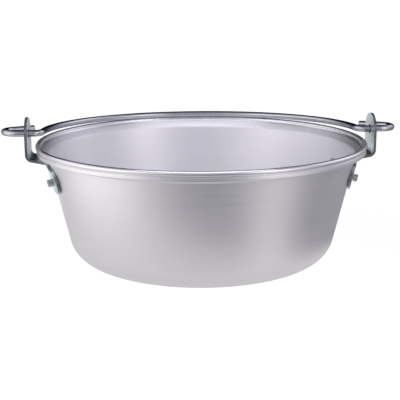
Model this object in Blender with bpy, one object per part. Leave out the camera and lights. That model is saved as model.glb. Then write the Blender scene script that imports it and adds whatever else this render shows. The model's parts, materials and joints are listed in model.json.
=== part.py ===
"""Open conical aluminium pan with a folding bail handle.

The pan stands on its base: the origin is the centre of the base and +Z is up.
+X runs along the bail's pivot axis, and +Y points to the side of the rim that
the folded bail rests on. Lengths are in metres and angles in radians.
"""
import math

import bmesh
import bpy
from mathutils import Matrix, Vector

MM = 0.001

# Pan: spun aluminium, a flat base, a conical wall and a rolled rim on a flare
PAN_HEIGHT = 130.8 * MM
RIM_RADIUS = 180.0 * MM
SHEET = 2.0 * MM
WALL_FOOT_RADIUS = 140.65 * MM  # where the outer wall line would meet the floor
WALL_ANGLE = math.atan(0.2338)
BASE_CORNER_RADIUS = 30.35 * MM
BEAD_RADIUS = 2.7 * MM
BEAD_START = math.radians(195.0)  # the bead's arc runs over the top, from its inner side
BEAD_END = math.radians(-75.0)
GROOVE_DEPTH = 1.3 * MM  # between the bead and the collar
COLLAR_RADIUS = 179.0 * MM
COLLAR_TOP_Z = 124.6 * MM
COLLAR_FOOT_Z = 121.0 * MM
COLLAR_ROUND = 0.5 * MM
INNER_FLARE_Z = 119.5 * MM  # where the inner and the outer wall lines turn out to the rim
OUTER_FLARE_Z = 117.9 * MM
INNER_FLARE_ROUND = 7.0 * MM
OUTER_FLARE_ROUND = 1.6 * MM
PAN_STEPS = 72

# Brackets: bent steel strip on an anchor-shaped foot that hugs the wall
PLATE = 2.8 * MM
BRACKET_GAP = 0.4 * MM  # between the foot and the wall
UPRIGHT_X = 187.5 * MM  # the upright's face towards the pan
UPRIGHT_HALF_WIDTH = 20.0 * MM
UPRIGHT_CROWN = 17.5 * MM  # height of the upright's half-oval top, from the pivot up
PIVOT_Z = 139.7 * MM
PIVOT_HOLE_RADIUS = 5.2 * MM
SHELF_Z = 114.8 * MM  # where the upright's face and the shelf's top meet
SHELF_SLOPE = math.radians(11.5)
LOWER_BEND_RADIUS = 5.0 * MM
WALL_BEND_RADIUS = 4.4 * MM
NECK_HALF_WIDTH = 22.0 * MM
FOOT_HALF_LENGTH = 62.0 * MM
FOOT_BOTTOM_Z = 83.5 * MM
FOOT_CORNER_RADIUS = 11.5 * MM
BRACKET_COLUMNS = 12

# Rivets: flat head inside the pan, dimpled set head outside the foot
RIVET_ANGLE = math.radians(14.8)  # to each side of the pivot axis
RIVET_Z = 94.5 * MM
SHANK_RADIUS = 2.0 * MM
RIVET_GAP = 0.3 * MM
INNER_HEAD_RADIUS = 4.0 * MM
INNER_HEAD_THICKNESS = 1.6 * MM
INNER_HEAD_GAP = 0.4 * MM  # a flat head on a concave wall touches at its edge
SET_HEAD_RADIUS = 4.0 * MM
SET_HEAD_HEIGHT = 4.7 * MM
DIMPLE_RADIUS = 2.0 * MM
DIMPLE_DEPTH = 2.0 * MM
DIMPLE_TAPER = 0.4 * MM
HEAD_CHAMFER = 0.7 * MM
RIVET_STEPS = 16

# Bail: one steel rod, a hoop with a curled end outside each bracket
ROD_RADIUS = 3.6 * MM
HOOP_RADIUS = 174.5 * MM
END_BEND_RADIUS = 9.0 * MM
CURL_START_X = 198.0 * MM
CURL_RADIUS = 18.0 * MM
CURL_END_ANGLE = math.radians(60.0)
CURL_TAIL = 23.5 * MM
BAIL_GAP = 0.3 * MM  # between the folded bail and the rim
HOOP_STEPS = 56

CUTTER_LENGTH = 16.0 * MM
MERGE_DISTANCE = 0.001 * MM
SHARP_ANGLE = math.radians(35.0)

# Each side's azimuth, and the way round from it to its front rivet
SIDES = (("left", math.pi, 1), ("right", 0.0, -1))


def clear_scene():
    for obj in list(bpy.data.objects):
        bpy.data.objects.remove(obj)


def metal(name, colour, roughness):
    material = bpy.data.materials.new(name)
    material.use_nodes = True
    shader = material.node_tree.nodes["Principled BSDF"]
    shader.inputs["Base Color"].default_value = (*colour, 1.0)
    shader.inputs["Metallic"].default_value = 1.0
    shader.inputs["Roughness"].default_value = roughness
    return material


def add_object(name, data, material=None):
    obj = bpy.data.objects.new(name, data)
    bpy.context.collection.objects.link(obj)
    if material:
        data.materials.clear()
        data.materials.append(material)
    return obj


def arc(centre, radius, start, end, steps):
    """Points on an arc, as pairs, with angles counted from the first axis."""
    points = []
    for step in range(steps + 1):
        angle = start + (end - start) * step / steps
        points.append((centre[0] + radius * math.cos(angle), centre[1] + radius * math.sin(angle)))
    return points


def fillet(before, corner, after, radius, steps):
    """Points of the arc that rounds a corner of a path of pairs."""
    into = (Vector(corner) - Vector(before)).normalized()
    out = (Vector(after) - Vector(corner)).normalized()
    turn = into.angle(out)
    setback = radius * math.tan(turn / 2)
    start = Vector(corner) - into * setback
    side = Vector((-into.y, into.x))
    if side.dot(out) < 0:
        side = -side
    centre = start + side * radius
    points = []
    for step in range(steps + 1):
        angle = turn * step / steps
        points.append(tuple(centre - side * radius * math.cos(angle) + into * radius * math.sin(angle)))
    return points


def turned(name, profile, steps, material):
    """A smooth-shaded body of revolution about local Z, from (radius, z) pairs that end on the axis."""
    bm = bmesh.new()
    points = [bm.verts.new((radius, 0.0, z)) for radius, z in profile]
    edges = [bm.edges.new(pair) for pair in zip(points, points[1:])]
    bmesh.ops.spin(bm, geom=points + edges, cent=(0.0, 0.0, 0.0), axis=(0.0, 0.0, 1.0),
                   angle=2 * math.pi, steps=steps, use_merge=True)
    bmesh.ops.remove_doubles(bm, verts=bm.verts, dist=MERGE_DISTANCE)
    bmesh.ops.recalc_face_normals(bm, faces=bm.faces)
    mesh = bpy.data.meshes.new(name)
    bm.to_mesh(mesh)
    bm.free()
    mesh.shade_smooth()
    mesh.set_sharp_from_angle(angle=SHARP_ANGLE)
    return add_object(name, mesh, material)


def cylinder_cutter(name, placements, radius):
    """One hidden cutter made of a cylinder along local Z at each placement."""
    mesh = bpy.data.meshes.new(name)
    bm = bmesh.new()
    for placement in placements:
        bmesh.ops.create_cone(bm, cap_ends=True, segments=16, radius1=radius, radius2=radius,
                              depth=CUTTER_LENGTH, matrix=placement)
    bm.to_mesh(mesh)
    bm.free()
    cutter = add_object(name, mesh)
    cutter.hide_render = True
    cutter.display_type = "WIRE"
    return cutter


def drill(obj, cutter):
    cut = obj.modifiers.new(cutter.name, "BOOLEAN")
    cut.operation = "DIFFERENCE"
    cut.solver = "EXACT"
    cut.object = cutter


def wall_radius(z):
    """Radius of the pan's outer wall line at a height."""
    return WALL_FOOT_RADIUS + z * math.tan(WALL_ANGLE)


def wall_placement(azimuth, z):
    """A frame on the outer wall, with its Z along the wall's outward normal."""
    radius = wall_radius(z)
    outward = Vector((math.cos(WALL_ANGLE), 0.0, -math.sin(WALL_ANGLE)))
    turn = Matrix.Rotation(azimuth, 4, "Z")
    align = outward.to_track_quat("Z", "Y").to_matrix().to_4x4()
    return turn @ Matrix.Translation((radius, 0.0, z)) @ align


def rivet_placements(side_angle, front_turn):
    """The frames of a side's front and rear rivets."""
    return {"front": wall_placement(side_angle + front_turn * RIVET_ANGLE, RIVET_Z),
            "rear": wall_placement(side_angle - front_turn * RIVET_ANGLE, RIVET_Z)}


def pan_profile():
    """From the middle of the inner floor, up, over the rolled rim and down the outside."""
    across_sheet = SHEET / math.cos(WALL_ANGLE)
    corner = (WALL_FOOT_RADIUS + BASE_CORNER_RADIUS * (math.tan(WALL_ANGLE) - 1 / math.cos(WALL_ANGLE)),
              BASE_CORNER_RADIUS)
    bead = (RIM_RADIUS - BEAD_RADIUS, PAN_HEIGHT - BEAD_RADIUS)
    inner_corner = arc(corner, BASE_CORNER_RADIUS - SHEET, -math.pi / 2, -WALL_ANGLE, 6)
    outer_corner = arc(corner, BASE_CORNER_RADIUS, -WALL_ANGLE, -math.pi / 2, 6)
    bead_arc = arc(bead, BEAD_RADIUS, BEAD_START, BEAD_END, 10)
    inner_turn = (wall_radius(INNER_FLARE_Z) - across_sheet, INNER_FLARE_Z)
    outer_turn = (wall_radius(OUTER_FLARE_Z), OUTER_FLARE_Z)
    groove = (COLLAR_RADIUS - GROOVE_DEPTH, (COLLAR_TOP_Z + bead_arc[-1][1]) / 2)
    collar_top = (COLLAR_RADIUS, COLLAR_TOP_Z)
    collar_foot = (COLLAR_RADIUS, COLLAR_FOOT_Z)
    return ([(0.0, SHEET)] + inner_corner
            + fillet(inner_corner[-1], inner_turn, bead_arc[0], INNER_FLARE_ROUND, 4)
            + bead_arc + [groove]
            + fillet(groove, collar_top, collar_foot, COLLAR_ROUND, 1)
            + fillet(collar_top, collar_foot, outer_turn, COLLAR_ROUND, 2)
            + fillet(collar_foot, outer_turn, outer_corner[0], OUTER_FLARE_ROUND, 3)
            + outer_corner + [(0.0, 0.0)])


def make_pan(material):
    pan = turned("pan_body", pan_profile(), PAN_STEPS, material)
    holes = [placement for _, side_angle, front_turn in SIDES
             for placement in rivet_placements(side_angle, front_turn).values()]
    drill(pan, cylinder_cutter("pan_rivet_holes", holes, SHANK_RADIUS + RIVET_GAP))


def foot_half_width(z, top_z):
    """Half the foot's length at a height: a rectangle with round corners."""
    beyond = max(z - (top_z - FOOT_CORNER_RADIUS), FOOT_BOTTOM_Z + FOOT_CORNER_RADIUS - z, 0.0)
    drop = math.sqrt(max(FOOT_CORNER_RADIUS ** 2 - beyond ** 2, 0.0))
    return FOOT_HALF_LENGTH - FOOT_CORNER_RADIUS + drop


def bracket_rows():
    """Rows of the face towards the pan, top to bottom, as (x, z, half width, wrap).

    wrap is 0 where a row is straight and 1 where it follows the round wall.
    """
    rows = []
    for angle in (60, 40, 20):
        height = UPRIGHT_CROWN * math.sin(math.radians(angle))
        rows.append((UPRIGHT_X, PIVOT_Z + height, UPRIGHT_HALF_WIDTH * math.cos(math.radians(angle)), 0.0))
    rows.append((UPRIGHT_X, PIVOT_Z, UPRIGHT_HALF_WIDTH, 0.0))

    gap = BRACKET_GAP / math.cos(WALL_ANGLE)
    reach = ((UPRIGHT_X - wall_radius(SHELF_Z) - gap)
             / (1 - math.tan(SHELF_SLOPE) * math.tan(WALL_ANGLE)))
    lower_bend = (UPRIGHT_X, SHELF_Z)
    wall_bend = (UPRIGHT_X - reach, SHELF_Z - reach * math.tan(SHELF_SLOPE))
    foot_end = (wall_radius(FOOT_BOTTOM_Z) + gap, FOOT_BOTTOM_Z)
    for x, z in fillet((UPRIGHT_X, PIVOT_Z), lower_bend, wall_bend, LOWER_BEND_RADIUS, 4):
        rows.append((x, z, UPRIGHT_HALF_WIDTH, 0.0))

    neck = fillet(lower_bend, wall_bend, foot_end, WALL_BEND_RADIUS, 5)
    top_z = neck[-1][1]
    shelf_x, shelf_z = rows[-1][:2]
    for share in (0.35, 0.7):
        rows.append((shelf_x + (neck[0][0] - shelf_x) * share, shelf_z + (neck[0][1] - shelf_z) * share,
                     UPRIGHT_HALF_WIDTH, share))
    flare = foot_half_width(top_z, top_z) - NECK_HALF_WIDTH
    for step, (x, z) in enumerate(neck[:-1]):
        rows.append((x, z, NECK_HALF_WIDTH + flare * (step / (len(neck) - 1)) ** 2, 1.0))
    heights = [top_z + FOOT_CORNER_RADIUS * (math.sin(math.radians(angle)) - 1) for angle in (90, 60, 35, 0)]
    heights += [FOOT_BOTTOM_Z + FOOT_CORNER_RADIUS * (1 - math.sin(math.radians(angle)))
                for angle in (0, 35, 60, 90)]
    for z in heights:
        rows.append((wall_radius(z) + gap, z, foot_half_width(z, top_z), 1.0))
    return rows


def bracket_point(x, z, across, wrap):
    """A point of a row: straight in Y, or bent about the pan's axis as wrap grows to 1."""
    if wrap == 0.0:
        return Vector((x, across, z))
    bend_radius = x / wrap
    angle = across / bend_radius
    return Vector((x - bend_radius * (1 - math.cos(angle)), bend_radius * math.sin(angle), z))


def bracket_mesh():
    bm = bmesh.new()
    loops = [[bm.verts.new((UPRIGHT_X, 0.0, PIVOT_Z + UPRIGHT_CROWN))]]
    for x, z, half_width, wrap in bracket_rows():
        loops.append([bm.verts.new(bracket_point(x, z, half_width * (2 * i / BRACKET_COLUMNS - 1), wrap))
                      for i in range(BRACKET_COLUMNS + 1)])
    for right in range(BRACKET_COLUMNS):
        bm.faces.new((loops[0][0], loops[1][right], loops[1][right + 1]))
    for upper, lower in zip(loops[1:], loops[2:]):
        for i in range(BRACKET_COLUMNS):
            bm.faces.new((upper[i], lower[i], lower[i + 1], upper[i + 1]))
    bmesh.ops.recalc_face_normals(bm, faces=bm.faces)
    if bm.faces[:][0].normal.x > 0:
        bmesh.ops.reverse_faces(bm, faces=bm.faces)
    mesh = bpy.data.meshes.new("bracket")
    bm.to_mesh(mesh)
    bm.free()
    return mesh


def make_bracket(side, side_angle, front_turn, mesh, material):
    bracket = add_object(side + "_bracket", mesh, material)
    bracket.rotation_euler.z = side_angle
    plate = bracket.modifiers.new("plate", "SOLIDIFY")
    plate.thickness = PLATE
    plate.offset = -1.0
    plate.use_even_offset = True
    turn = Matrix.Rotation(side_angle, 4, "Z")
    pivot = turn @ Matrix.Translation((UPRIGHT_X, 0.0, PIVOT_Z)) @ Matrix.Rotation(math.pi / 2, 4, "Y")
    rivets = rivet_placements(side_angle, front_turn).values()
    drill(bracket, cylinder_cutter(side + "_pivot_hole", [pivot], PIVOT_HOLE_RADIUS))
    drill(bracket, cylinder_cutter(side + "_foot_holes", rivets, SHANK_RADIUS + RIVET_GAP))


def rivet_profile():
    """From the bottom of the set head's dimple, outside the pan, to the flat inner head."""
    head_foot = BRACKET_GAP + PLATE + RIVET_GAP
    head_top = head_foot + SET_HEAD_HEIGHT
    inner_face = -SHEET - INNER_HEAD_GAP
    inner_end = inner_face - INNER_HEAD_THICKNESS
    return [(0.0, head_top - DIMPLE_DEPTH),
            (DIMPLE_RADIUS - DIMPLE_TAPER, head_top - DIMPLE_DEPTH),
            (DIMPLE_RADIUS, head_top),
            (SET_HEAD_RADIUS - HEAD_CHAMFER, head_top),
            (SET_HEAD_RADIUS, head_top - HEAD_CHAMFER),
            (SET_HEAD_RADIUS, head_foot),
            (SHANK_RADIUS, head_foot),
            (SHANK_RADIUS, inner_face),
            (INNER_HEAD_RADIUS, inner_face),
            (INNER_HEAD_RADIUS, inner_end + HEAD_CHAMFER),
            (INNER_HEAD_RADIUS - HEAD_CHAMFER, inner_end),
            (0.0, inner_end)]


def make_rivets(side, side_angle, front_turn, material):
    for end, placement in rivet_placements(side_angle, front_turn).items():
        rivet = turned(f"{side}_{end}_rivet", rivet_profile(), RIVET_STEPS, material)
        rivet.matrix_world = placement


def bail_half():
    """The rod's centre line in its own plane, from the middle of the hoop to the +X tip."""
    bend_centre = (HOOP_RADIUS + END_BEND_RADIUS, END_BEND_RADIUS)
    hoop_end = math.asin(END_BEND_RADIUS / HOOP_RADIUS)
    hoop = arc((0.0, 0.0), HOOP_RADIUS, math.pi / 2, hoop_end, HOOP_STEPS // 2)
    bend = arc(bend_centre, END_BEND_RADIUS, math.pi, 1.5 * math.pi, 5)
    curl = arc((CURL_START_X, CURL_RADIUS), CURL_RADIUS, -math.pi / 2, CURL_END_ANGLE, 12)
    tip = (curl[-1][0] - CURL_TAIL * math.sin(CURL_END_ANGLE),
           curl[-1][1] + CURL_TAIL * math.cos(CURL_END_ANGLE))
    return hoop + bend[1:] + curl + [tip]


def bail_tilt():
    """How far the folded hoop dips from level, to rest on the inner side of the bead at its far side."""
    between_centres = BEAD_RADIUS + BAIL_GAP + ROD_RADIUS
    inward = RIM_RADIUS - BEAD_RADIUS - HOOP_RADIUS
    rod_z = PAN_HEIGHT - BEAD_RADIUS + math.sqrt(between_centres ** 2 - inward ** 2)
    return math.asin((PIVOT_Z - rod_z) / HOOP_RADIUS)


def make_bail(material):
    half = bail_half()
    points = [(-x, y) for x, y in reversed(half[1:])] + half
    curve = bpy.data.curves.new("bail_handle", "CURVE")
    curve.dimensions = "3D"
    curve.bevel_depth = ROD_RADIUS
    curve.bevel_resolution = 4
    curve.use_fill_caps = True
    spline = curve.splines.new("POLY")
    spline.points.add(len(points) - 1)
    for point, (x, y) in zip(spline.points, points):
        point.co = (x, y, 0.0, 1.0)
    bail = add_object("bail_handle", curve, material)
    bail.location.z = PIVOT_Z
    bail.rotation_euler.x = -bail_tilt()


def main():
    clear_scene()
    aluminium = metal("spun_aluminium", (0.80, 0.79, 0.81), 0.38)
    zinc = metal("zinc_plate", (0.58, 0.64, 0.66), 0.32)
    chrome = metal("bright_rod", (0.72, 0.75, 0.78), 0.12)
    steel = metal("rivet_steel", (0.70, 0.69, 0.67), 0.35)
    make_pan(aluminium)
    mesh = bracket_mesh()
    for side, side_angle, front_turn in SIDES:
        make_bracket(side, side_angle, front_turn, mesh, zinc)
        make_rivets(side, side_angle, front_turn, steel)
    make_bail(chrome)


main()
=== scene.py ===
"""Looks of the conical aluminium pan with its bail handle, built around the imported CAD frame."""
import json
import math

import bmesh
import bpy
from mathutils import Matrix, Vector


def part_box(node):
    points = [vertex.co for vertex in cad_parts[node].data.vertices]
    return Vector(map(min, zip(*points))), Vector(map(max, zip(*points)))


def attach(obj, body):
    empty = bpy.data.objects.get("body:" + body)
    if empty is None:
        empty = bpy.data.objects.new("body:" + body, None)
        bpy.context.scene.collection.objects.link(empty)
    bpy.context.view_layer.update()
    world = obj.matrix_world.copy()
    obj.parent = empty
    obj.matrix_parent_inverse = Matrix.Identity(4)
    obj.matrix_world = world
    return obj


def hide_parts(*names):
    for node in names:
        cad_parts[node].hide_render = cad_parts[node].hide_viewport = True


MM = 0.001

# Pan section, as distances from the frame's rim and base
SHEET = 2.0 * MM
WALL_FOOT_RADIUS = 140.65 * MM
WALL_ANGLE = math.atan(0.2338)
BASE_CORNER_RADIUS = 30.35 * MM
BEAD_RADIUS = 2.7 * MM
BEAD_START = math.radians(195.0)
BEAD_END = math.radians(-75.0)
GROOVE_DEPTH = 1.3 * MM
COLLAR_INSET = 1.0 * MM
COLLAR_TOP_DROP = 6.2 * MM
COLLAR_FOOT_DROP = 9.8 * MM
COLLAR_ROUND = 0.5 * MM
INNER_FLARE_DROP = 11.3 * MM
OUTER_FLARE_DROP = 12.9 * MM
INNER_FLARE_ROUND = 7.0 * MM
OUTER_FLARE_ROUND = 1.6 * MM
PAN_SEGMENTS = 288
FLAT_STEPS = 24  # rings across the floor, the base and the rounded corner between base and wall
WALL_STEPS = 16  # rings up each side of the wall
FLARE_STEPS = 10
LIP_STEPS = 4  # between the inner flare and the bead
BEAD_STEPS = 30
SMALL_ROUND_STEPS = 6

# Bracket sheet
PLATE = 2.8 * MM
BRACKET_GAP = 0.4 * MM
UPRIGHT_HALF_WIDTH = 20.0 * MM
UPRIGHT_CROWN = 17.5 * MM
PIVOT_HOLE_RADIUS = 5.2 * MM
SHELF_Z = 114.8 * MM
SHELF_SLOPE = math.radians(11.5)
LOWER_BEND_RADIUS = 5.0 * MM
WALL_BEND_RADIUS = 4.4 * MM
NECK_HALF_WIDTH = 22.0 * MM
FOOT_HALF_LENGTH = 62.0 * MM
FOOT_BOTTOM_Z = 83.5 * MM
FOOT_CORNER_RADIUS = 11.5 * MM
BRACKET_COLUMNS = 40
CROWN_ROWS = 15
LOWER_BEND_ROWS = 8
SHELF_ROWS = 8
WALL_BEND_ROWS = 12
CORNER_ROWS = 8
BRACKET_EDGE = 0.6 * MM
BRACKET_EDGE_ANGLE = math.radians(50.0)  # edges sharper than this are rounded
BRACKET_EDGE_SEGMENTS = 3
HOLE_CUTTER_LENGTH = 16.0 * MM
HOLE_SEGMENTS = 64

# Rivets
RIVET_ANGLE = math.radians(14.8)
RIVET_Z = 94.5 * MM
SHANK_RADIUS = 2.0 * MM
RIVET_GAP = 0.3 * MM
INNER_HEAD_RADIUS = 4.0 * MM
INNER_HEAD_THICKNESS = 1.6 * MM
INNER_HEAD_GAP = 0.4 * MM
SET_HEAD_RADIUS = 4.0 * MM
SET_HEAD_HEIGHT = 4.7 * MM
DIMPLE_RADIUS = 2.0 * MM
DIMPLE_DEPTH = 2.0 * MM
DIMPLE_ROUND = 0.3 * MM
SET_HEAD_CHAMFER = (0.25 * MM, 0.3 * MM)  # across and along the rivet
INNER_HEAD_CHAMFER = 0.15 * MM
INNER_HEAD_ROUND = 0.7 * MM
RIVET_SEGMENTS = 48
RIVET_LIP_STEPS = 14

# Bail rod
ROD_RADIUS = 3.6 * MM
HOOP_RADIUS = 174.5 * MM
END_BEND_RADIUS = 9.0 * MM
CURL_START_X = 198.0 * MM
CURL_RADIUS = 18.0 * MM
CURL_END_ANGLE = math.radians(60.0)
CURL_TAIL = 23.5 * MM
BAIL_GAP = 0.3 * MM
ROD_END_CHAMFER = 0.5 * MM
ROD_SIDES = 40
HOOP_STEPS = 110  # half the hoop
END_BEND_STEPS = 16
CURL_STEPS = 36

SHARP_EDGE = math.radians(35.0)

# Spun aluminium. Noise scales are per metre along the sheet's section and per radian round the axis
RING_SCALE = (2600.0, 1.6)
BAND_SCALE = (260.0, 0.9)
CLOUD_SCALE = 14.0
ALUMINIUM_TONES = ((0.87, 0.865, 0.875), (0.92, 0.915, 0.925))
SATIN_ROUGHNESS = (0.36, 0.42)
CLOUD_ROUGHNESS = 0.02
INSIDE_ROUGHNESS = 0.12  # added on the inner side
RIM_POLISH_Z = 125.0 * MM  # the rolled bead above this height is burnished
RIM_POLISH_BLEND = 1.5 * MM
RIM_POLISH = (0.16, 0.26)  # taken off the roughness, outside and inside
RING_BUMP = (0.10, 0.0002)  # strength and depth
BAND_BUMP = (0.05, 0.0008)
SPUN_ANISOTROPY = 0.6
SPUN_TURN = 0.25  # a quarter turn, so that highlights stretch across the rings

# Plated steel: two tones, roughness, strength of the grain, and the painted shade that darkens the edges
# facing front and rear
ZINC = ((0.56, 0.65, 0.66), (0.72, 0.80, 0.81), 0.24, 0.15, 0.40)
RIVET_STEEL = ((0.36, 0.37, 0.36), (0.52, 0.53, 0.51), 0.20, 0.10, 1.0)
BLOTCH_SCALE = 90.0
GRAIN_SCALE = 1400.0
GRAIN_DEPTH = 0.2 * MM
PAINTED_SHADE_NORMAL = (0.5, 0.8)  # how far a face looks along Y before it takes the painted edge shade
PLATING_METALLIC = 0.85

# Bail rod's plating
ROD_TONES = ((0.55, 0.58, 0.60), (0.61, 0.64, 0.66))
ROD_EDGE_TINT = (0.25, 0.27, 0.30, 1.0)
ROD_ROUGHNESS = (0.06, 0.11)
WEAR_SCALE = 60.0

# Camera: 81 mm lens on a 36 mm sensor, a metre away, looking slightly down
CAMERA_PLACE = Vector((-68.0, -976.8, 295.6)) * MM
CAMERA_TARGET = Vector((-1.74, 0.12, 61.7)) * MM
CAMERA_ROLL = math.radians(-0.2124)
CAMERA_LENS = 81.07
CAMERA_SENSOR = 36.0

# Studio: soft patches of light on the world, a round lamp above for the pan alone, and a lit table top that
# shows only in reflections. A patch has an azimuth (0 towards the camera, positive to the right), an
# elevation and two half widths, in degrees, and a strength. The flag is a patch behind the pan that takes
# the light away, all of it where its strength is above 1.
ROOM_LIGHT = 0.17
ROOM_TINT = (0.965, 0.945, 1.08)
BOX_TINT = (1.0, 0.973, 0.972)
SOFT_BOXES = {
    "left_box": (-90.0, -17.0, (46.0, 48.0), 1.0),
    "right_box": (56.0, -15.0, (24.0, 45.0), 0.50),
    "right_wall": (130.0, -15.0, (45.0, 45.0), 0.14),
    "low_back": (-172.0, -14.0, (22.0, 12.0), 1.3),
    "left_strip": (-56.0, 14.0, (22.0, 16.0), 0.85),
    "right_strip": (42.0, 14.0, (14.0, 16.0), 1.35),
}
ROOM_BOXES = {
    "right_back": (122.0, 28.0, (30.0, 24.0), 0.95),
    "left_back": (-126.0, 32.0, (24.0, 20.0), 0.6),
    "front_room": (0.0, 26.0, (120.0, 20.0), 0.42),
    "under_box": (0.0, -85.0, (300.0, 30.0), 0.55),
}
BACK_FLAG = (180.0, 45.0, (40.0, 45.0), 1.7)
OVERHEAD_PLACE = Vector((0.0, -0.25, 1.5))
OVERHEAD_WIDTH = 1.6
OVERHEAD_POWER = 8.5
BACKDROP = (0.98, 0.98, 0.98, 1.0)
FLOOR_HALF = 60.0
FLOOR_DROP = 0.5 * MM
FLOOR_TONES = ((0.80, 0.80, 0.80), (0.82, 0.82, 0.82))
FLOOR_GLOW = 0.72
TABLE_DROP = 0.4 * MM
TABLE_CENTRE_X = -58.0 * MM
TABLE_RADIUS = 232.0 * MM
TABLE_SEGMENTS = 96
TABLE_GLOW = 0.64
TABLE_TINT = (1.0, 0.98, 1.0, 1.0)

SIDES = (("left", math.pi), ("right", 0.0))


# ---------------------------------------------------------------- helpers

def arc(centre, radius, start, end, steps):
    """Points on an arc, as pairs, with angles counted from the first axis."""
    points = []
    for step in range(steps + 1):
        angle = start + (end - start) * step / steps
        points.append((centre[0] + radius * math.cos(angle), centre[1] + radius * math.sin(angle)))
    return points


def fillet(before, corner, after, radius, steps):
    """Points of the arc that rounds a corner of a path of (x, z) points."""
    into = (Vector(corner) - Vector(before)).normalized()
    out = (Vector(after) - Vector(corner)).normalized()
    turn = into.angle(out)
    start = Vector(corner) - into * radius * math.tan(turn / 2)
    side = Vector((-into.y, into.x))
    if side.dot(out) < 0:
        side = -side
    centre = start + side * radius
    points = []
    for step in range(steps + 1):
        angle = turn * step / steps
        points.append(tuple(centre - side * radius * math.cos(angle) + into * radius * math.sin(angle)))
    return points


def add_mesh(name, vertices, faces, material, smooth_angle=None):
    mesh = bpy.data.meshes.new(name)
    mesh.from_pydata([tuple(v) for v in vertices], [], faces)
    mesh.materials.append(material)
    obj = bpy.data.objects.new(name, mesh)
    bpy.context.collection.objects.link(obj)
    mesh.shade_smooth()
    if smooth_angle is not None:
        mesh.set_sharp_from_angle(angle=smooth_angle)
    return obj


def turned(name, profile, segments, material, placement=None, smooth_angle=None):
    """A closed body of revolution about Z, from (radius, z) pairs.

    The pairs start on the axis and end at a lower place on it, so that the faces look outwards.
    """
    vertices = [Vector((0.0, 0.0, profile[0][1]))]
    for radius, z in profile[1:-1]:
        for i in range(segments):
            angle = 2 * math.pi * i / segments
            vertices.append(Vector((radius * math.cos(angle), radius * math.sin(angle), z)))
    vertices.append(Vector((0.0, 0.0, profile[-1][1])))
    last = len(vertices) - 1
    faces = []
    for i in range(segments):
        faces.append((0, 1 + i, 1 + (i + 1) % segments))
    for ring in range(len(profile) - 3):
        upper = 1 + ring * segments
        lower = upper + segments
        for i in range(segments):
            j = (i + 1) % segments
            faces.append((upper + i, lower + i, lower + j, upper + j))
    upper = last - segments
    for i in range(segments):
        faces.append((upper + i, last, upper + (i + 1) % segments))
    if placement:
        vertices = [placement @ v for v in vertices]
    return add_mesh(name, vertices, faces, material, smooth_angle)


# ---------------------------------------------------------------- materials

class Nodes:
    """Short calls for building a node tree, a new material's own where a name is given."""

    def __init__(self, name):
        if name:
            self.material = bpy.data.materials.new(name)
            self.material.use_nodes = True
            self.tree = self.material.node_tree
            self.shader = self.tree.nodes["Principled BSDF"]

    def add(self, kind, inputs=None, **settings):
        node = self.tree.nodes.new(kind)
        for key, value in settings.items():
            setattr(node, key, value)
        for key, value in (inputs or {}).items():
            if isinstance(value, bpy.types.NodeSocket):
                self.tree.links.new(value, node.inputs[key])
            else:
                node.inputs[key].default_value = value
        return node

    def set(self, **values):
        for key, value in values.items():
            socket = self.shader.inputs[key.replace("_", " ")]
            if isinstance(value, bpy.types.NodeSocket):
                self.tree.links.new(value, socket)
            else:
                socket.default_value = value

    def math(self, operation, a, b=0.0):
        return self.add("ShaderNodeMath", {0: a, 1: b}, operation=operation).outputs[0]

    def noise(self, vector, scale, detail=3.0, roughness=0.5):
        return self.add("ShaderNodeTexNoise", {"Vector": vector, "Scale": scale, "Detail": detail,
                                               "Roughness": roughness}).outputs["Fac"]

    def ramp(self, value, low, high, to_low, to_high):
        return self.add("ShaderNodeMapRange", {0: value, 1: low, 2: high, 3: to_low, 4: to_high}).outputs[0]


def mix_colour(nodes, factor, first, second):
    """Blends two colours; Mix nodes hold one socket set per data type."""
    node = nodes.add("ShaderNodeMix", data_type="RGBA")
    colours = [s for s in node.inputs if s.type == "RGBA"]
    nodes.tree.links.new(factor, node.inputs[0])
    colours[0].default_value = (*first, 1.0)
    colours[1].default_value = (*second, 1.0)
    return [s for s in node.outputs if s.type == "RGBA"][0]


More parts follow.
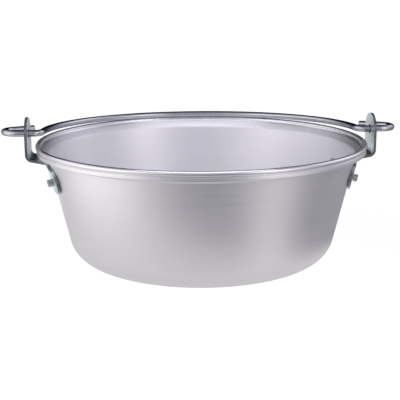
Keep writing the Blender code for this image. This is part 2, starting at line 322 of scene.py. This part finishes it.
def spun_aluminium():
    """Satin aluminium with the fine rings that spinning leaves round the pan's axis."""
    n = Nodes("spun_aluminium")
    place = n.add("ShaderNodeTexCoord").outputs["Object"]
    x, y, z = n.add("ShaderNodeSeparateXYZ", {0: place}).outputs
    radius = n.math("SQRT", n.math("ADD", n.math("MULTIPLY", x, x), n.math("MULTIPLY", y, y)))
    # along the sheet's section: radius and height together, so rings run on over the base corner
    along = n.math("ADD", radius, z)
    azimuth = n.math("ARCTAN2", y, x)
    fine, broad = (n.add("ShaderNodeCombineXYZ", {0: n.math("MULTIPLY", along, scale[0]),
                                                  1: n.math("MULTIPLY", azimuth, scale[1])}).outputs[0]
                   for scale in (RING_SCALE, BAND_SCALE))
    # the inner side is where the normal turns up or towards the axis
    normal = n.add("ShaderNodeSeparateXYZ", {0: n.add("ShaderNodeTexCoord").outputs["Normal"]}).outputs
    radial = n.math("ADD", n.math("MULTIPLY", normal[0], x), n.math("MULTIPLY", normal[1], y))
    outward = n.math("DIVIDE", radial, n.math("MAXIMUM", radius, MM))
    inside = n.ramp(n.math("SUBTRACT", normal[2], outward), -0.2, 0.2, 0.0, 1.0)
    rings = n.noise(fine, 1.0, 2.0)
    bands = n.noise(broad, 1.0, 3.0)
    cloud = n.noise(place, CLOUD_SCALE, 4.0)
    tone = n.math("ADD", n.math("MULTIPLY", rings, 0.5), n.math("MULTIPLY", bands, 0.5))
    colour = mix_colour(n, n.ramp(tone, 0.3, 0.7, 0.0, 1.0), *ALUMINIUM_TONES)
    satin = n.math("ADD", n.ramp(bands, 0.3, 0.7, *SATIN_ROUGHNESS),
                   n.ramp(cloud, 0.3, 0.7, -CLOUD_ROUGHNESS, CLOUD_ROUGHNESS))
    matt = n.math("ADD", satin, n.math("MULTIPLY", inside, INSIDE_ROUGHNESS))
    on_rim = n.ramp(z, RIM_POLISH_Z - RIM_POLISH_BLEND, RIM_POLISH_Z + RIM_POLISH_BLEND, 0.0, 1.0)
    polish = n.math("MULTIPLY", on_rim, n.ramp(inside, 0.0, 1.0, *RIM_POLISH))
    roughness = n.math("SUBTRACT", matt, polish)
    bump = n.add("ShaderNodeBump", {"Strength": RING_BUMP[0], "Distance": RING_BUMP[1], "Height": rings})
    wide = n.add("ShaderNodeBump", {"Strength": BAND_BUMP[0], "Distance": BAND_BUMP[1], "Height": bands,
                                    "Normal": bump.outputs[0]})
    tangent = n.add("ShaderNodeTangent", direction_type="RADIAL", axis="Z")
    n.set(Base_Color=colour, Metallic=1.0, Roughness=roughness, Anisotropic=SPUN_ANISOTROPY,
          Anisotropic_Rotation=SPUN_TURN, Normal=wide.outputs[0], Tangent=tangent.outputs[0])
    return n.material


def plated_steel(name, dark, light, roughness, grain_strength, edge_painted_shade):
    """A slightly blotchy plated skin, with painted shade that darkens the edges facing front and rear."""
    n = Nodes(name)
    coordinates = n.add("ShaderNodeTexCoord").outputs
    place = coordinates["Object"]
    normal = n.add("ShaderNodeSeparateXYZ", {0: coordinates["Normal"]}).outputs
    # painted shade: the colour is darkened on faces that look front or rear along Y
    tone = n.ramp(n.math("ABSOLUTE", normal[1]), *PAINTED_SHADE_NORMAL, 1.0, edge_painted_shade)
    blotch = n.noise(place, BLOTCH_SCALE, 4.0, 0.6)
    grain = n.noise(place, GRAIN_SCALE, 3.0, 0.6)
    colour = mix_colour(n, n.ramp(blotch, 0.35, 0.65, 0.0, 1.0), dark, light)
    rough = n.math("ADD", n.ramp(blotch, 0.3, 0.7, roughness - 0.05, roughness + 0.06),
                   n.ramp(grain, 0.3, 0.7, -0.03, 0.03))
    bump = n.add("ShaderNodeBump", {"Strength": grain_strength, "Distance": GRAIN_DEPTH, "Height": grain})
    shaded = n.add("ShaderNodeVectorMath", {0: colour, "Scale": tone}, operation="SCALE")
    n.set(Base_Color=shaded.outputs[0], Metallic=PLATING_METALLIC, Roughness=rough, Normal=bump.outputs[0])
    return n.material


def bright_rod():
    """Bright plated rod, with faint wear and dark edges."""
    n = Nodes("bright_rod")
    place = n.add("ShaderNodeTexCoord").outputs["Object"]
    wear = n.noise(place, WEAR_SCALE, 3.0)
    colour = mix_colour(n, n.ramp(wear, 0.35, 0.65, 0.0, 1.0), *ROD_TONES)
    n.set(Base_Color=colour, Metallic=1.0, Roughness=n.ramp(wear, 0.3, 0.7, *ROD_ROUGHNESS),
          Specular_Tint=ROD_EDGE_TINT)
    return n.material


def studio_floor():
    n = Nodes("studio_floor")
    place = n.add("ShaderNodeTexCoord").outputs["Object"]
    speck = n.noise(place, 30.0, 2.0)
    pale = mix_colour(n, speck, *FLOOR_TONES)
    n.set(Base_Color=pale, Roughness=0.9, Emission_Color=(1.0, 1.0, 1.0, 1.0),
          Emission_Strength=FLOOR_GLOW)
    return n.material


# ---------------------------------------------------------------- pan

def wall_radius(z):
    return WALL_FOOT_RADIUS + z * math.tan(WALL_ANGLE)


def between(start, end, steps):
    """The points that divide a straight line, without its ends."""
    return [(start[0] + (end[0] - start[0]) * i / steps, start[1] + (end[1] - start[1]) * i / steps)
            for i in range(1, steps)]


def pan_profile(rim_radius, height):
    """From the middle of the inner floor, up, over the rolled rim and down the outside."""
    across_sheet = SHEET / math.cos(WALL_ANGLE)
    corner = (WALL_FOOT_RADIUS + BASE_CORNER_RADIUS * (math.tan(WALL_ANGLE) - 1 / math.cos(WALL_ANGLE)),
              BASE_CORNER_RADIUS)
    bead = (rim_radius - BEAD_RADIUS, height - BEAD_RADIUS)
    inner_corner = arc(corner, BASE_CORNER_RADIUS - SHEET, -math.pi / 2, -WALL_ANGLE, FLAT_STEPS)
    outer_corner = arc(corner, BASE_CORNER_RADIUS, -WALL_ANGLE, -math.pi / 2, FLAT_STEPS)
    bead_arc = arc(bead, BEAD_RADIUS, BEAD_START, BEAD_END, BEAD_STEPS)
    inner_turn = (wall_radius(height - INNER_FLARE_DROP) - across_sheet, height - INNER_FLARE_DROP)
    outer_turn = (wall_radius(height - OUTER_FLARE_DROP), height - OUTER_FLARE_DROP)
    collar_top = (rim_radius - COLLAR_INSET, height - COLLAR_TOP_DROP)
    collar_foot = (rim_radius - COLLAR_INSET, height - COLLAR_FOOT_DROP)
    groove = (collar_top[0] - GROOVE_DEPTH, (collar_top[1] + bead_arc[-1][1]) / 2)
    inner_flare = fillet(inner_corner[-1], inner_turn, bead_arc[0], INNER_FLARE_ROUND, FLARE_STEPS)
    outer_flare = fillet(collar_foot, outer_turn, outer_corner[0], OUTER_FLARE_ROUND, SMALL_ROUND_STEPS)
    floor_start, floor_end = (0.0, SHEET), inner_corner[0]
    base_start, base_end = outer_corner[-1], (0.0, 0.0)
    return ([floor_start] + between(floor_start, floor_end, FLAT_STEPS) + inner_corner
            + between(inner_corner[-1], inner_flare[0], WALL_STEPS) + inner_flare
            + between(inner_flare[-1], bead_arc[0], LIP_STEPS) + bead_arc + [groove]
            + fillet(groove, collar_top, collar_foot, COLLAR_ROUND, SMALL_ROUND_STEPS)
            + fillet(collar_top, collar_foot, outer_turn, COLLAR_ROUND, SMALL_ROUND_STEPS)
            + outer_flare + between(outer_flare[-1], outer_corner[0], WALL_STEPS)
            + outer_corner + between(base_start, base_end, FLAT_STEPS) + [base_end])


def make_pan(material):
    low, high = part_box("pan_body")
    profile = pan_profile(high.x, high.z - low.z)
    pan = turned("spun_pan", profile, PAN_SEGMENTS, material)
    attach(pan, "pan")
    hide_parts("pan_body")
    return pan


# ---------------------------------------------------------------- brackets

def foot_half_width(z, top_z):
    """Half the foot's length at a height: a rectangle with round corners."""
    beyond = max(z - (top_z - FOOT_CORNER_RADIUS), FOOT_BOTTOM_Z + FOOT_CORNER_RADIUS - z, 0.0)
    drop = math.sqrt(max(FOOT_CORNER_RADIUS ** 2 - beyond ** 2, 0.0))
    return FOOT_HALF_LENGTH - FOOT_CORNER_RADIUS + drop


def bracket_rows(upright_x, pivot_z):
    """Rows of the face towards the pan, top to bottom, as (x, z, half width, wrap)."""
    rows = []
    for step in range(CROWN_ROWS - 1, 0, -1):
        angle = math.pi / 2 * step / CROWN_ROWS
        rows.append((upright_x, pivot_z + UPRIGHT_CROWN * math.sin(angle),
                     UPRIGHT_HALF_WIDTH * math.cos(angle), 0.0))
    rows.append((upright_x, pivot_z, UPRIGHT_HALF_WIDTH, 0.0))
    gap = BRACKET_GAP / math.cos(WALL_ANGLE)
    reach = ((upright_x - wall_radius(SHELF_Z) - gap)
             / (1 - math.tan(SHELF_SLOPE) * math.tan(WALL_ANGLE)))
    lower_bend = (upright_x, SHELF_Z)
    wall_bend = (upright_x - reach, SHELF_Z - reach * math.tan(SHELF_SLOPE))
    foot_end = (wall_radius(FOOT_BOTTOM_Z) + gap, FOOT_BOTTOM_Z)
    for x, z in fillet((upright_x, pivot_z), lower_bend, wall_bend, LOWER_BEND_RADIUS, LOWER_BEND_ROWS):
        rows.append((x, z, UPRIGHT_HALF_WIDTH, 0.0))
    neck = fillet(lower_bend, wall_bend, foot_end, WALL_BEND_RADIUS, WALL_BEND_ROWS)
    top_z = neck[-1][1]
    shelf_x, shelf_z = rows[-1][:2]
    for step in range(1, SHELF_ROWS):
        share = step / SHELF_ROWS
        rows.append((shelf_x + (neck[0][0] - shelf_x) * share, shelf_z + (neck[0][1] - shelf_z) * share,
                     UPRIGHT_HALF_WIDTH + (NECK_HALF_WIDTH - UPRIGHT_HALF_WIDTH) * share ** 3, share))
    flare = foot_half_width(top_z, top_z) - NECK_HALF_WIDTH
    for step, (x, z) in enumerate(neck[:-1]):
        rows.append((x, z, NECK_HALF_WIDTH + flare * (step / (len(neck) - 1)) ** 2, 1.0))
    corner = [math.pi / 2 * (1 - i / CORNER_ROWS) for i in range(CORNER_ROWS + 1)]
    heights = [top_z + FOOT_CORNER_RADIUS * (math.sin(a) - 1) for a in corner]
    heights += [FOOT_BOTTOM_Z + FOOT_CORNER_RADIUS * (1 - math.sin(a)) for a in reversed(corner)]
    for z in heights:
        rows.append((wall_radius(z) + gap, z, foot_half_width(z, top_z), 1.0))
    return rows


def bracket_point(x, z, across, wrap):
    """A point of a row: straight in Y, or bent about the pan's axis as wrap grows to 1."""
    if wrap == 0.0:
        return Vector((x, across, z))
    bend_radius = x / wrap
    angle = across / bend_radius
    return Vector((x - bend_radius * (1 - math.cos(angle)), bend_radius * math.sin(angle), z))


def hole_cutter(upright_x, pivot_z, side_angle):
    mesh = bpy.data.meshes.new("pivot_hole")
    bm = bmesh.new()
    turn = Matrix.Rotation(side_angle, 4, "Z")
    place = turn @ Matrix.Translation((upright_x, 0.0, pivot_z)) @ Matrix.Rotation(math.pi / 2, 4, "Y")
    bmesh.ops.create_cone(bm, cap_ends=True, segments=HOLE_SEGMENTS, radius1=PIVOT_HOLE_RADIUS,
                          radius2=PIVOT_HOLE_RADIUS, depth=HOLE_CUTTER_LENGTH, matrix=place)
    bm.to_mesh(mesh)
    bm.free()
    cutter = bpy.data.objects.new("pivot_hole", mesh)
    bpy.context.collection.objects.link(cutter)
    return cutter


def make_bracket(side, side_angle, pivot_z, material):
    upright_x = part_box("right_bracket")[1].x - PLATE
    rows = bracket_rows(upright_x, pivot_z)
    turn = Matrix.Rotation(side_angle, 4, "Z")
    vertices = [turn @ Vector((upright_x, 0.0, pivot_z + UPRIGHT_CROWN))]
    count = BRACKET_COLUMNS + 1
    for x, z, half_width, wrap in rows:
        for i in range(count):
            across = half_width * (2 * i / BRACKET_COLUMNS - 1)
            vertices.append(turn @ bracket_point(x, z, across, wrap))
    faces = [(0, 1 + i + 1, 1 + i) for i in range(BRACKET_COLUMNS)]
    for row in range(len(rows) - 1):
        upper = 1 + row * count
        for i in range(BRACKET_COLUMNS):
            faces.append((upper + i, upper + i + 1, upper + count + i + 1, upper + count + i))
    bracket = add_mesh(side + "_pressed_bracket", vertices, faces, material)
    plate = bracket.modifiers.new("plate", "SOLIDIFY")
    plate.thickness = PLATE
    plate.offset = -1.0
    plate.use_even_offset = True
    cutter = hole_cutter(upright_x, pivot_z, side_angle)
    punch = bracket.modifiers.new("punch", "BOOLEAN")
    punch.operation = "DIFFERENCE"
    punch.solver = "EXACT"
    punch.object = cutter
    edge = bracket.modifiers.new("edge", "BEVEL")
    edge.width = BRACKET_EDGE
    edge.segments = BRACKET_EDGE_SEGMENTS
    edge.limit_method = "ANGLE"
    edge.angle_limit = BRACKET_EDGE_ANGLE
    edge.harden_normals = True
    freeze(bracket)
    bpy.data.objects.remove(cutter)
    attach(bracket, "pan")
    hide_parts(side + "_bracket")


def freeze(obj):
    """Replaces an object's mesh with what its modifiers make of it."""
    graph = bpy.context.evaluated_depsgraph_get()
    mesh = bpy.data.meshes.new_from_object(obj.evaluated_get(graph), depsgraph=graph)
    obj.modifiers.clear()
    obj.data = mesh


# ---------------------------------------------------------------- rivets

def wall_placement(azimuth, z):
    """A frame on the outer wall, with its Z along the wall's outward normal."""
    outward = Vector((math.cos(WALL_ANGLE), 0.0, -math.sin(WALL_ANGLE)))
    align = outward.to_track_quat("Z", "Y").to_matrix().to_4x4()
    turn = Matrix.Rotation(azimuth, 4, "Z")
    return turn @ Matrix.Translation((wall_radius(z), 0.0, z)) @ align


def rivet_profile():
    """From the bottom of the set head's dimple, outside the pan, to the flat inner head."""
    head_foot = BRACKET_GAP + PLATE + RIVET_GAP
    head_top = head_foot + SET_HEAD_HEIGHT
    inner_face = -SHEET - INNER_HEAD_GAP
    inner_end = inner_face - INNER_HEAD_THICKNESS
    lip = (DIMPLE_RADIUS + SET_HEAD_RADIUS) / 2
    roll = (SET_HEAD_RADIUS - DIMPLE_RADIUS) / 2
    rolled_edge = arc((lip, head_top - roll), roll, math.pi, 0.0, RIVET_LIP_STEPS)
    return ([(0.0, head_top - DIMPLE_DEPTH), (DIMPLE_RADIUS * 0.7, head_top - DIMPLE_DEPTH),
             (DIMPLE_RADIUS * 0.95, head_top - DIMPLE_DEPTH + DIMPLE_ROUND)]
            + rolled_edge
            + [(SET_HEAD_RADIUS, head_foot + SET_HEAD_CHAMFER[1]),
               (SET_HEAD_RADIUS - SET_HEAD_CHAMFER[0], head_foot),
               (SHANK_RADIUS, head_foot), (SHANK_RADIUS, inner_face),
               (INNER_HEAD_RADIUS - INNER_HEAD_CHAMFER, inner_face),
               (INNER_HEAD_RADIUS, inner_face - INNER_HEAD_CHAMFER)]
            + arc((INNER_HEAD_RADIUS - INNER_HEAD_ROUND, inner_end + INNER_HEAD_ROUND),
                  INNER_HEAD_ROUND, 0.0, -math.pi / 2, SMALL_ROUND_STEPS)
            + [(INNER_HEAD_RADIUS * 0.5, inner_end), (0.0, inner_end)])


def make_rivets(side, side_angle, material):
    for end, away in (("front", -1), ("rear", 1)):
        azimuth = side_angle + away * RIVET_ANGLE * (1 if side == "right" else -1)
        rivet = turned(f"{side}_{end}_set_rivet", rivet_profile(), RIVET_SEGMENTS, material,
                       wall_placement(azimuth, RIVET_Z), SHARP_EDGE)
        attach(rivet, "pan")
        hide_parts(f"{side}_{end}_rivet")


# ---------------------------------------------------------------- bail

def bail_half():
    """The rod's centre line in its own plane, from the middle of the hoop to the +X tip."""
    bend_centre = (HOOP_RADIUS + END_BEND_RADIUS, END_BEND_RADIUS)
    hoop_end = math.asin(END_BEND_RADIUS / HOOP_RADIUS)
    hoop = arc((0.0, 0.0), HOOP_RADIUS, math.pi / 2, hoop_end, HOOP_STEPS)
    bend = arc(bend_centre, END_BEND_RADIUS, math.pi, 1.5 * math.pi, END_BEND_STEPS)
    curl = arc((CURL_START_X, CURL_RADIUS), CURL_RADIUS, -math.pi / 2, CURL_END_ANGLE, CURL_STEPS)
    tail = (curl[-1][0] - CURL_TAIL * math.sin(CURL_END_ANGLE),
            curl[-1][1] + CURL_TAIL * math.cos(CURL_END_ANGLE))
    return hoop + bend[1:] + curl + [tail]


def make_bail(pivot, rim, material):
    """The rod, folded back: rim is the outer radius and the height of the bead that it rests on."""
    between_centres = BEAD_RADIUS + BAIL_GAP + ROD_RADIUS
    inward = rim[0] - BEAD_RADIUS - HOOP_RADIUS
    rod_z = rim[1] - BEAD_RADIUS + math.sqrt(between_centres ** 2 - inward ** 2)
    tilt = math.asin((pivot.z - rod_z) / HOOP_RADIUS)
    half = bail_half()
    path = [Vector((-x, y, 0.0)) for x, y in reversed(half[1:])] + [Vector((x, y, 0.0)) for x, y in half]
    place = Matrix.Translation(pivot) @ Matrix.Rotation(-tilt, 4, "X")
    stations = [(path[0], ROD_RADIUS - ROD_END_CHAMFER)]
    stations.append((path[0] + (path[1] - path[0]).normalized() * ROD_END_CHAMFER, ROD_RADIUS))
    stations += [(point, ROD_RADIUS) for point in path[1:-1]]
    stations.append((path[-1] + (path[-2] - path[-1]).normalized() * ROD_END_CHAMFER, ROD_RADIUS))
    stations.append((path[-1], ROD_RADIUS - ROD_END_CHAMFER))
    vertices = []
    for i, (point, radius) in enumerate(stations):
        before = stations[max(i - 1, 0)][0]
        after = stations[min(i + 1, len(stations) - 1)][0]
        along = (after - before).normalized()
        across = Vector((-along.y, along.x, 0.0))
        for k in range(ROD_SIDES):
            angle = 2 * math.pi * k / ROD_SIDES
            vertices.append(place @ (point + radius * (across * math.cos(angle)
                                                       + Vector((0.0, 0.0, 1.0)) * math.sin(angle))))
    faces = [tuple(reversed(range(ROD_SIDES)))]
    for i in range(len(stations) - 1):
        near = i * ROD_SIDES
        far = near + ROD_SIDES
        for k in range(ROD_SIDES):
            m = (k + 1) % ROD_SIDES
            faces.append((near + k, near + m, far + m, far + k))
    faces.append(tuple(range(len(vertices) - ROD_SIDES, len(vertices))))
    bail = add_mesh("bail_rod", vertices, faces, material, SHARP_EDGE)
    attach(bail, "bail")
    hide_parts("bail_handle")


# ---------------------------------------------------------------- studio

def make_floor(material):
    mesh = bpy.data.meshes.new("floor")
    corners = [(FLOOR_HALF * x, FLOOR_HALF * y, 0.0) for x, y in ((-1, -1), (1, -1), (1, 1), (-1, 1))]
    mesh.from_pydata(corners, [], [(0, 1, 2, 3)])
    mesh.materials.append(material)
    floor = bpy.data.objects.new("floor", mesh)
    floor.location.z = -FLOOR_DROP
    floor.visible_glossy = False
    bpy.context.collection.objects.link(floor)


def make_table_glow():
    """The lit table top round the base, which only shows as a reflection in the metal."""
    n = Nodes("table_glow")
    glow = n.add("ShaderNodeEmission", {"Color": TABLE_TINT, "Strength": TABLE_GLOW})
    n.tree.links.new(glow.outputs[0], n.tree.nodes["Material Output"].inputs["Surface"])
    mesh = bpy.data.meshes.new("table_glow")
    bm = bmesh.new()
    bmesh.ops.create_circle(bm, cap_ends=True, segments=TABLE_SEGMENTS, radius=TABLE_RADIUS)
    bm.to_mesh(mesh)
    bm.free()
    mesh.materials.append(n.material)
    table = bpy.data.objects.new("table_glow", mesh)
    table.location = (TABLE_CENTRE_X, 0.0, -TABLE_DROP)
    table.visible_camera = False
    table.visible_diffuse = False
    table.visible_shadow = False
    bpy.context.collection.objects.link(table)


def softbox(n, azimuth, elevation, centre, height, spread, strength):
    """A soft patch of light round an azimuth and an elevation, with its half width each way."""
    turned_away = n.math("SUBTRACT", n.math("COSINE", n.math("SUBTRACT", azimuth, math.radians(centre))), 1.0)
    across = n.math("EXPONENT", n.math("MULTIPLY", turned_away, 2 / math.radians(spread[0]) ** 2))
    above = n.math("DIVIDE", n.math("SUBTRACT", elevation, math.radians(height)), math.radians(spread[1]))
    upright = n.math("EXPONENT", n.math("MULTIPLY", n.math("MULTIPLY", above, above), -1.0))
    return n.math("MULTIPLY", n.math("MULTIPLY", across, upright), strength)


def make_lights():
    """The studio round the pan, as a world: a dim room with soft boxes, plain and pale to the camera."""
    world = bpy.data.worlds.new("studio")
    bpy.context.scene.world = world
    world.use_nodes = True
    n = Nodes(None)
    n.tree = world.node_tree
    direction = n.add("ShaderNodeTexCoord").outputs["Generated"]
    x, y, z = n.add("ShaderNodeSeparateXYZ", {0: direction}).outputs
    azimuth = n.math("ARCTAN2", x, n.math("MULTIPLY", y, -1.0))
    elevation = n.math("ARCSINE", z)
    boxes, room = 0.0, ROOM_LIGHT
    for patch in SOFT_BOXES.values():
        boxes = n.math("ADD", boxes, softbox(n, azimuth, elevation, *patch))
    for patch in ROOM_BOXES.values():
        room = n.math("ADD", room, softbox(n, azimuth, elevation, *patch))
    blocked = softbox(n, azimuth, elevation, *BACK_FLAG)
    unblocked = n.math("MAXIMUM", n.math("SUBTRACT", 1.0, blocked), 0.0)
    light = n.add("ShaderNodeVectorMath", operation="ADD")
    for side, (value, tint) in enumerate(((room, ROOM_TINT), (boxes, BOX_TINT))):
        tinted = n.add("ShaderNodeVectorMath", {0: tint, "Scale": n.math("MULTIPLY", value, unblocked)},
                       operation="SCALE")
        n.tree.links.new(tinted.outputs[0], light.inputs[side])
    seen = n.add("ShaderNodeLightPath").outputs["Is Camera Ray"]
    background = n.tree.nodes["Background"]
    n.tree.links.new(light.outputs[0], background.inputs["Color"])
    backdrop = n.add("ShaderNodeBackground", {"Color": BACKDROP})
    shown = n.add("ShaderNodeMixShader", {0: seen, 1: background.outputs[0], 2: backdrop.outputs[0]})
    n.tree.links.new(shown.outputs[0], n.tree.nodes["World Output"].inputs["Surface"])


def make_overhead(lit):
    """A round soft box above the pan, shaded off everything but the object that it is for."""
    data = bpy.data.lights.new("overhead", "AREA")
    data.shape = "DISK"
    data.size = OVERHEAD_WIDTH
    data.energy = OVERHEAD_POWER
    data.color = ROOM_TINT
    lamp = bpy.data.objects.new("overhead", data)
    lamp.location = OVERHEAD_PLACE
    lamp.rotation_euler = (-OVERHEAD_PLACE).to_track_quat("-Z", "Y").to_euler()
    lamp.visible_camera = False
    bpy.context.collection.objects.link(lamp)
    receivers = bpy.data.collections.new("overhead_lit")
    receivers.objects.link(lit)
    lamp.light_linking.receiver_collection = receivers


def make_camera():
    data = bpy.data.cameras.new("camera")
    data.lens = CAMERA_LENS
    data.sensor_width = CAMERA_SENSOR
    camera = bpy.data.objects.new("camera", data)
    bpy.context.collection.objects.link(camera)
    look = (CAMERA_TARGET - CAMERA_PLACE).to_track_quat("-Z", "Y").to_matrix().to_4x4()
    camera.matrix_world = (Matrix.Translation(CAMERA_PLACE) @ look
                           @ Matrix.Rotation(CAMERA_ROLL, 4, "Z"))
    bpy.context.scene.camera = camera


# ---------------------------------------------------------------- build

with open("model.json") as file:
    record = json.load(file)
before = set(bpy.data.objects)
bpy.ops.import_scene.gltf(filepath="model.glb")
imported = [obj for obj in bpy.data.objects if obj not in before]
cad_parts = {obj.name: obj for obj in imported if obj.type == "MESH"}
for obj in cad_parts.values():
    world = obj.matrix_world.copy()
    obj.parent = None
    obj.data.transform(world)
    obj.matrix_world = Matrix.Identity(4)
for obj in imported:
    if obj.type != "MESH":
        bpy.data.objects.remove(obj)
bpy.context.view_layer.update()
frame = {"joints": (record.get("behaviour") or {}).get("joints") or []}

PIVOT = Vector(frame["joints"][0]["pos_m"])
RIM = (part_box("pan_body")[1].x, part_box("pan_body")[1].z)

zinc = plated_steel("zinc_plate", *ZINC)
rivet_metal = plated_steel("rivet_plate", *RIVET_STEEL)
pan = make_pan(spun_aluminium())
for side, side_angle in SIDES:
    make_bracket(side, side_angle, PIVOT.z, zinc)
    make_rivets(side, side_angle, rivet_metal)
make_bail(PIVOT, RIM, bright_rod())
make_floor(studio_floor())
make_table_glow()
make_lights()
make_overhead(pan)
make_camera()
bpy.context.scene.view_settings.view_transform = "Standard"
